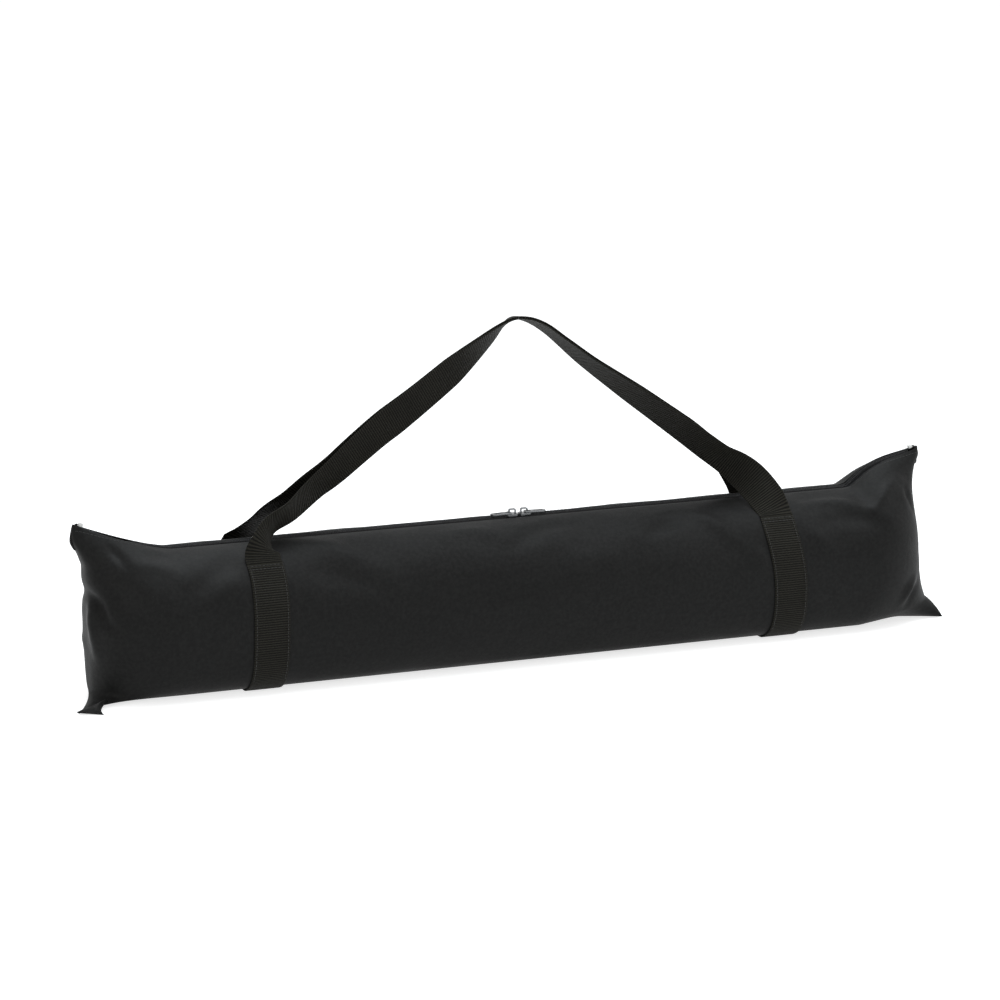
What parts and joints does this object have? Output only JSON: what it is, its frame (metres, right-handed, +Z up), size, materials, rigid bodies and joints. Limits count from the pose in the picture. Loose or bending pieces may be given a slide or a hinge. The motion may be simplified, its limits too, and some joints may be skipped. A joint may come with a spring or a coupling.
{
  "type": "carry bag with a packed portable net",
  "caption": "Long soft carry bag with a ridge zip, two webbing carry handles and pinched ends, closed round a packed portable net and its tube frame.",
  "frame": {"origin": "middle of the bag's footprint, on the surface that it stands on", "axes": "+X along the bag to its right end, +Y to its back, +Z up"},
  "size_m": [1.05, 0.1474, 0.3844],
  "materials": {
    "shell_fabric": "matte coated polyester weave",
    "webbing": "ribbed polypropylene webbing",
    "zip_tape": "woven tape",
    "zip_coil": "nylon coil",
    "zip_metal": "gunmetal plating",
    "zip_stop": "moulded",
    "frame_paint": "powder coat",
    "button_steel": "bright",
    "cap_plastic": "moulded",
    "cap_rubber": "matte",
    "net_mesh": "knotted netting",
    "headband": "coated tape"
  },
  "bodies": {
    "bag": {"front_panel": "shell_fabric", "back_panel": "shell_fabric", "front_zip_tape": "zip_tape", "back_zip_tape": "zip_tape", "front_zip_coil": "zip_coil", "back_zip_coil": "zip_coil", "left_zip_stop": "zip_stop", "right_zip_stop": "zip_stop", "left_seam_binding": "webbing", "right_seam_binding": "webbing", "left_band": "webbing", "right_band": "webbing", "net_roll": "net_mesh", "net_headband": "headband", "left_net_tie": "webbing", "right_net_tie": "webbing", "left_tube_strap": "webbing", "right_tube_strap": "webbing", "left_upright": "frame_paint", "right_upright": "frame_paint", "upright_caps": "cap_plastic", "left_corner_socket": "frame_paint", "right_corner_socket": "frame_paint", "front_left_foot": "frame_paint", "front_right_foot": "frame_paint", "back_left_foot": "frame_paint", "back_right_foot": "frame_paint", "foot_caps": "cap_rubber", "centre_post": "frame_paint", "centre_foot": "frame_paint", "rail_1": "frame_paint", "rail_2": "frame_paint", "rail_3": "frame_paint", "rail_4": "frame_paint", "rail_5": "frame_paint", "rail_6": "frame_paint", "rail_7": "frame_paint", "rail_8": "frame_paint"},
    "left_slider": {"left_slider": "zip_metal"},
    "right_slider": {"right_slider": "zip_metal"},
    "left_pull": {"left_pull_tab": "zip_metal"},
    "right_pull": {"right_pull_tab": "zip_metal"},
    "front_handle": {"front_handle": "webbing"},
    "back_handle": {"back_handle": "webbing"},
    "snap_button_1": {"snap_button_1": "button_steel"},
    "snap_button_2": {"snap_button_2": "button_steel"},
    "snap_button_3": {"snap_button_3": "button_steel"},
    "snap_button_4": {"snap_button_4": "button_steel"},
    "snap_button_5": {"snap_button_5": "button_steel"},
    "snap_button_6": {"snap_button_6": "button_steel"},
    "snap_button_7": {"snap_button_7": "button_steel"},
    "snap_button_8": {"snap_button_8": "button_steel"}
  },
  "joints": [
    {"name": "left_slider_slide", "type": "slide", "parent": "bag", "child": "left_slider", "axis": [-1, 0, 0], "range_m": [0, 0.36]},
    {"name": "right_slider_slide", "type": "slide", "parent": "bag", "child": "right_slider", "axis": [1, 0, 0], "range_m": [0, 0.36]},
    {"name": "left_pull_hinge", "type": "hinge", "parent": "left_slider", "child": "left_pull", "pos_m": [-0.0088, 0, 0.16144], "axis": [0, 1, 0], "range_deg": [0, 100]},
    {"name": "right_pull_hinge", "type": "hinge", "parent": "right_slider", "child": "right_pull", "pos_m": [0.0088, 0, 0.16144], "axis": [0, -1, 0], "range_deg": [0, 100]},
    {"name": "front_handle_hinge", "type": "hinge", "parent": "bag", "child": "front_handle", "pos_m": [0, -0.04196, 0.14647], "axis": [1, 0, 0], "range_deg": [0, 110]},
    {"name": "back_handle_hinge", "type": "hinge", "parent": "bag", "child": "back_handle", "pos_m": [0, 0.04196, 0.14647], "axis": [-1, 0, 0], "range_deg": [0, 110]},
    {"name": "snap_button_1_press", "type": "slide", "parent": "bag", "child": "snap_button_1", "axis": [0, 0, -1], "range_m": [0, 0.003], "stiffness_N_per_m": 2000, "springref_m": -0.001},
    {"name": "snap_button_2_press", "type": "slide", "parent": "bag", "child": "snap_button_2", "axis": [0, 0, -1], "range_m": [0, 0.003], "stiffness_N_per_m": 2000, "springref_m": -0.001},
    {"name": "snap_button_3_press", "type": "slide", "parent": "bag", "child": "snap_button_3", "axis": [0, 0, -1], "range_m": [0, 0.003], "stiffness_N_per_m": 2000, "springref_m": -0.001},
    {"name": "snap_button_4_press", "type": "slide", "parent": "bag", "child": "snap_button_4", "axis": [0, 0, -1], "range_m": [0, 0.003], "stiffness_N_per_m": 2000, "springref_m": -0.001},
    {"name": "snap_button_5_press", "type": "slide", "parent": "bag", "child": "snap_button_5", "axis": [0, 0, -1], "range_m": [0, 0.003], "stiffness_N_per_m": 2000, "springref_m": -0.001},
    {"name": "snap_button_6_press", "type": "slide", "parent": "bag", "child": "snap_button_6", "axis": [0, 0, -1], "range_m": [0, 0.003], "stiffness_N_per_m": 2000, "springref_m": -0.001},
    {"name": "snap_button_7_press", "type": "slide", "parent": "bag", "child": "snap_button_7", "axis": [0, 0, -1], "range_m": [0, 0.003], "stiffness_N_per_m": 2000, "springref_m": -0.001},
    {"name": "snap_button_8_press", "type": "slide", "parent": "bag", "child": "snap_button_8", "axis": [0, 0, -1], "range_m": [0, 0.003], "stiffness_N_per_m": 2000, "springref_m": -0.001}
  ]
}
